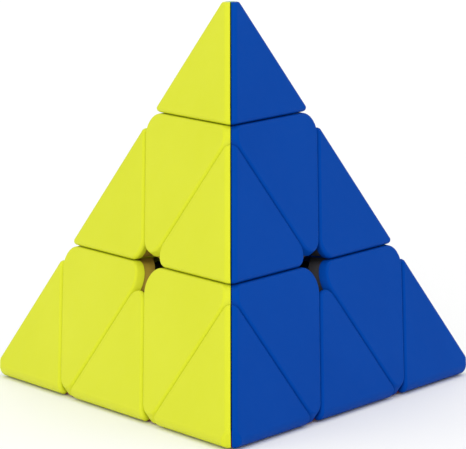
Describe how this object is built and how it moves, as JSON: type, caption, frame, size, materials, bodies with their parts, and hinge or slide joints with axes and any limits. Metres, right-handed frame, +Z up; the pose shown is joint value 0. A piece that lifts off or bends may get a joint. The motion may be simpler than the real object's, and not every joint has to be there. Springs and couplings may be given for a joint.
{
  "type": "pyramid twisty puzzle",
  "caption": "Stickerless four-sided pyramid puzzle: tips, axial pieces and edge pieces in four face colours turn about a hidden ball core.",
  "frame": {"origin": "centre of the ball core, where the four turning axes meet; also the centre of mass", "axes": "+Z up through the top vertex, -Y towards the front vertex (the edge between the yellow and blue faces), +X towards the right vertex, when the puzzle rests on its red face"},
  "size_m": [0.0972, 0.0851, 0.0802],
  "materials": {
    "yellow_plastic": "satin moulded plastic, bright lemon yellow",
    "blue_plastic": "satin moulded plastic, royal blue",
    "green_plastic": "satin moulded plastic, bright green",
    "red_plastic": "satin moulded plastic, bright red",
    "black_plastic": "fine matte moulded plastic, near black",
    "steel": "plain bright steel"
  },
  "bodies": {
    "core": {"core_ball": "black_plastic", "screw_top": "steel", "washer_top": "steel", "spring_top": "steel", "screw_front": "steel", "washer_front": "steel", "spring_front": "steel", "screw_left": "steel", "washer_left": "steel", "spring_left": "steel", "screw_right": "steel", "washer_right": "steel", "spring_right": "steel"},
    "axial_piece_top": {"axial_hub_top": "black_plastic", "axial_cap_top_green": "green_plastic", "axial_cap_top_blue": "blue_plastic", "axial_cap_top_yellow": "yellow_plastic"},
    "tip_top": {"tip_stem_top": "black_plastic", "tip_cap_top_green": "green_plastic", "tip_cap_top_blue": "blue_plastic", "tip_cap_top_yellow": "yellow_plastic"},
    "axial_piece_front": {"axial_hub_front": "black_plastic", "axial_cap_front_red": "red_plastic", "axial_cap_front_blue": "blue_plastic", "axial_cap_front_yellow": "yellow_plastic"},
    "tip_front": {"tip_stem_front": "black_plastic", "tip_cap_front_red": "red_plastic", "tip_cap_front_blue": "blue_plastic", "tip_cap_front_yellow": "yellow_plastic"},
    "axial_piece_left": {"axial_hub_left": "black_plastic", "axial_cap_left_red": "red_plastic", "axial_cap_left_green": "green_plastic", "axial_cap_left_yellow": "yellow_plastic"},
    "tip_left": {"tip_stem_left": "black_plastic", "tip_cap_left_red": "red_plastic", "tip_cap_left_green": "green_plastic", "tip_cap_left_yellow": "yellow_plastic"},
    "axial_piece_right": {"axial_hub_right": "black_plastic", "axial_cap_right_red": "red_plastic", "axial_cap_right_green": "green_plastic", "axial_cap_right_blue": "blue_plastic"},
    "tip_right": {"tip_stem_right": "black_plastic", "tip_cap_right_red": "red_plastic", "tip_cap_right_green": "green_plastic", "tip_cap_right_blue": "blue_plastic"},
    "edge_piece_top_front": {"edge_top_front_blue": "blue_plastic", "edge_top_front_yellow": "yellow_plastic"},
    "edge_piece_top_left": {"edge_top_left_green": "green_plastic", "edge_top_left_yellow": "yellow_plastic"},
    "edge_piece_top_right": {"edge_top_right_green": "green_plastic", "edge_top_right_blue": "blue_plastic"},
    "edge_piece_left_front": {"edge_left_front_red": "red_plastic", "edge_left_front_yellow": "yellow_plastic"},
    "edge_piece_right_left": {"edge_right_left_red": "red_plastic", "edge_right_left_green": "green_plastic"},
    "edge_piece_front_right": {"edge_front_right_red": "red_plastic", "edge_front_right_blue": "blue_plastic"}
  },
  "joints": [
    {"name": "turn_layer_top", "type": "hinge", "parent": "core", "child": "axial_piece_top", "pos_m": [0, 0, 0], "axis": [0, 0, 1], "range_deg": [-240, 120]},
    {"name": "turn_layer_front", "type": "hinge", "parent": "core", "child": "axial_piece_front", "pos_m": [0, 0, 0], "axis": [0, -0.9428, -0.3333], "range_deg": [-240, 120]},
    {"name": "turn_layer_left", "type": "hinge", "parent": "core", "child": "axial_piece_left", "pos_m": [0, 0, 0], "axis": [-0.8165, 0.4714, -0.3333], "range_deg": [-240, 120]},
    {"name": "turn_layer_right", "type": "hinge", "parent": "core", "child": "axial_piece_right", "pos_m": [0, 0, 0], "axis": [0.8165, 0.4714, -0.3333], "range_deg": [-240, 120]},
    {"name": "twist_tip_top", "type": "hinge", "parent": "axial_piece_top", "child": "tip_top", "pos_m": [0, 0, 0], "axis": [0, 0, 1], "continuous": true},
    {"name": "twist_tip_front", "type": "hinge", "parent": "axial_piece_front", "child": "tip_front", "pos_m": [0, 0, 0], "axis": [0, -0.9428, -0.3333], "continuous": true},
    {"name": "twist_tip_left", "type": "hinge", "parent": "axial_piece_left", "child": "tip_left", "pos_m": [0, 0, 0], "axis": [-0.8165, 0.4714, -0.3333], "continuous": true},
    {"name": "twist_tip_right", "type": "hinge", "parent": "axial_piece_right", "child": "tip_right", "pos_m": [0, 0, 0], "axis": [0.8165, 0.4714, -0.3333], "continuous": true},
    {"name": "edge_top_front_follows_front", "type": "hinge", "parent": "axial_piece_top", "child": "edge_piece_top_front", "pos_m": [0, 0, 0], "axis": [0, -0.9428, -0.3333], "range_deg": [-240, 120]},
    {"name": "edge_top_left_follows_left", "type": "hinge", "parent": "axial_piece_top", "child": "edge_piece_top_left", "pos_m": [0, 0, 0], "axis": [-0.8165, 0.4714, -0.3333], "range_deg": [-240, 120]},
    {"name": "edge_top_right_follows_right", "type": "hinge", "parent": "axial_piece_top", "child": "edge_piece_top_right", "pos_m": [0, 0, 0], "axis": [0.8165, 0.4714, -0.3333], "range_deg": [-240, 120]},
    {"name": "edge_left_front_follows_front", "type": "hinge", "parent": "axial_piece_left", "child": "edge_piece_left_front", "pos_m": [0, 0, 0], "axis": [0, -0.9428, -0.3333], "range_deg": [-240, 120]},
    {"name": "edge_right_left_follows_left", "type": "hinge", "parent": "axial_piece_right", "child": "edge_piece_right_left", "pos_m": [0, 0, 0], "axis": [-0.8165, 0.4714, -0.3333], "range_deg": [-240, 120]},
    {"name": "edge_front_right_follows_right", "type": "hinge", "parent": "axial_piece_front", "child": "edge_piece_front_right", "pos_m": [0, 0, 0], "axis": [0.8165, 0.4714, -0.3333], "range_deg": [-240, 120]}
  ],
  "couplings": [
    {"joint": "edge_top_front_follows_front", "follows": "turn_layer_front", "ratio": 1},
    {"joint": "edge_top_left_follows_left", "follows": "turn_layer_left", "ratio": 1},
    {"joint": "edge_top_right_follows_right", "follows": "turn_layer_right", "ratio": 1},
    {"joint": "edge_left_front_follows_front", "follows": "turn_layer_front", "ratio": 1},
    {"joint": "edge_right_left_follows_left", "follows": "turn_layer_left", "ratio": 1},
    {"joint": "edge_front_right_follows_right", "follows": "turn_layer_right", "ratio": 1}
  ]
}
